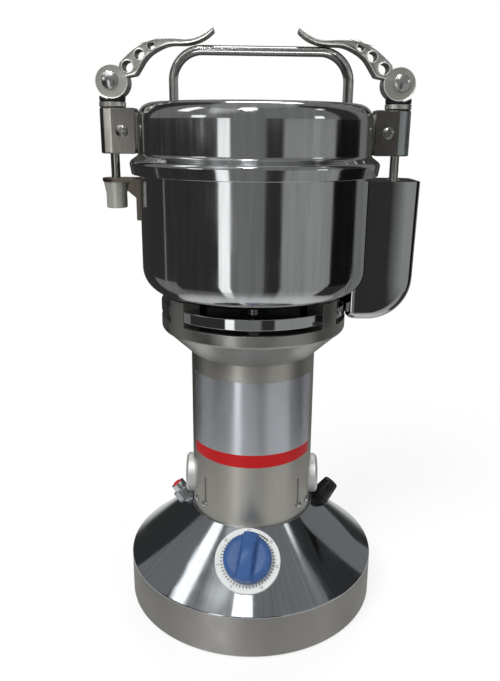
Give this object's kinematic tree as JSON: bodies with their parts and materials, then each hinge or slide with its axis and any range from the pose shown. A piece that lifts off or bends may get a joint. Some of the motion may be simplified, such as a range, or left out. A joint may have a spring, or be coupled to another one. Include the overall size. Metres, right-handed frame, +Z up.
{
  "type": "nut butter grinder",
  "caption": "Countertop dry grinder with a round metal bowl, lift-off lid held by cam clamps, side handle, motor tube and conical base with a timer knob.",
  "frame": {"origin": "centre of the round base on the surface it stands on", "axes": "+Z up along the motor axis, -Y towards the front with the timer knob, +X towards the side handle"},
  "size_m": [0.194, 0.175, 0.3726],
  "materials": {
    "spun_aluminium": "spun, polished cone and brushed skirt",
    "steel_plate": "pressed and zinc plated",
    "rubber": "moulded, matt",
    "screws": "bright zinc",
    "black_plastic": "moulded",
    "satin_aluminium": "satin anodised tube",
    "cast_aluminium": "cast, tumbled satin",
    "brass": "drawn",
    "carbon": "pressed carbon",
    "spring_steel": "ground",
    "polished_steel": "mirror polished stainless",
    "satin_steel": "satin stainless",
    "silicone": "moulded translucent",
    "chrome": "chrome plated",
    "lever_casting": "cast, tumbled, bright edges",
    "dial_plastic": "moulded, printed with plain numbers",
    "knob_plastic": "moulded blue",
    "red_plastic": "moulded red",
    "lamination": "stacked steel laminations",
    "copper": "enamelled copper",
    "blade_steel": "ground edges"
  },
  "bodies": {
    "root": {"base_housing": "spun_aluminium", "base_cover": "steel_plate", "base_feet": "rubber", "base_cover_screws": "screws", "cable_inlet": "black_plastic", "motor_housing": "satin_aluminium", "housing_screws": "screws", "brush_cap_right": "cast_aluminium", "brush_cap_left": "cast_aluminium", "brush_holders": "brass", "carbon_brushes": "carbon", "brush_springs": "spring_steel", "neck_casting": "cast_aluminium", "bearing_plate": "polished_steel", "neck_screws": "screws", "bowl": "polished_steel", "bracket_left": "polished_steel", "rod_socket_left": "satin_steel", "side_handle": "polished_steel", "rod_socket_right": "satin_steel", "timer_dial": "dial_plastic", "timer_body": "black_plastic", "reset_collar": "chrome", "reset_body": "black_plastic", "fuse_holder": "black_plastic", "bearing_bracket": "cast_aluminium", "lower_bearing": "spring_steel", "upper_bearing": "spring_steel", "stator": "lamination", "field_coils": "copper", "shaft_seal": "silicone"},
    "lid": {"lid_shell": "polished_steel", "lid_seal": "silicone", "lid_handle": "polished_steel", "lid_handle_screws": "screws", "lid_lugs": "satin_steel", "clamp_screws": "screws", "clamp_collars": "chrome", "cam_saddles": "black_plastic", "clamp_block_left": "satin_steel", "clamp_block_right": "satin_steel"},
    "rod_left": {"clamp_rod_left": "chrome"},
    "rod_right": {"clamp_rod_right": "chrome"},
    "lever_left": {"cam_lever_left": "lever_casting", "lever_pin_left": "chrome"},
    "lever_right": {"cam_lever_right": "lever_casting", "lever_pin_right": "chrome"},
    "timer_knob": {"timer_knob": "knob_plastic", "timer_stem": "spring_steel"},
    "reset_button": {"reset_button": "red_plastic"},
    "fuse_cap": {"fuse_cap": "black_plastic"},
    "rotor": {"motor_shaft": "spring_steel", "armature": "lamination", "commutator": "copper", "cooling_fan": "black_plastic", "cutter_spacers": "polished_steel", "blade_lower": "blade_steel", "blade_middle": "blade_steel", "blade_upper": "blade_steel", "cutter_nut": "polished_steel"}
  },
  "joints": [
    {"name": "lid_lift", "type": "slide", "parent": "root", "child": "lid", "axis": [0, 0, 1], "range_m": [0, 0.13]},
    {"name": "rod_left_drop", "type": "slide", "parent": "lid", "child": "rod_left", "axis": [0, 0, -1], "range_m": [0, 0.0023]},
    {"name": "rod_right_drop", "type": "slide", "parent": "lid", "child": "rod_right", "axis": [0, 0, -1], "range_m": [0, 0.0023]},
    {"name": "lever_left_open", "type": "hinge", "parent": "rod_left", "child": "lever_left", "pos_m": [-0.086, 0, 0.34343], "axis": [0, -1, 0], "range_deg": [0, 140]},
    {"name": "lever_right_open", "type": "hinge", "parent": "rod_right", "child": "lever_right", "pos_m": [0.086, 0, 0.34343], "axis": [0, 1, 0], "range_deg": [0, 140]},
    {"name": "timer_knob_turn", "type": "hinge", "parent": "root", "child": "timer_knob", "pos_m": [-0.00214, -0.05835, 0.05259], "axis": [0.0234, 0.6383, -0.7694], "range_deg": [0, 300]},
    {"name": "reset_press", "type": "slide", "parent": "root", "child": "reset_button", "axis": [0.6224, -0.1437, -0.7694], "range_m": [0, 0.002], "stiffness_N_per_m": 500, "springref_m": -0.0005},
    {"name": "fuse_cap_turn", "type": "hinge", "parent": "root", "child": "fuse_cap", "pos_m": [0.04887, 0.01128, 0.05943], "axis": [0.6224, 0.1437, 0.7694], "range_deg": [0, 90]},
    {"name": "rotor_spin", "type": "hinge", "parent": "root", "child": "rotor", "pos_m": [0, 0, 0.12], "axis": [0, 0, 1], "continuous": true}
  ],
  "couplings": [
    {"joint": "rod_left_drop", "follows": "lever_left_open", "m_per_rad": 0.00090036},
    {"joint": "rod_right_drop", "follows": "lever_right_open", "m_per_rad": 0.00090036}
  ]
}
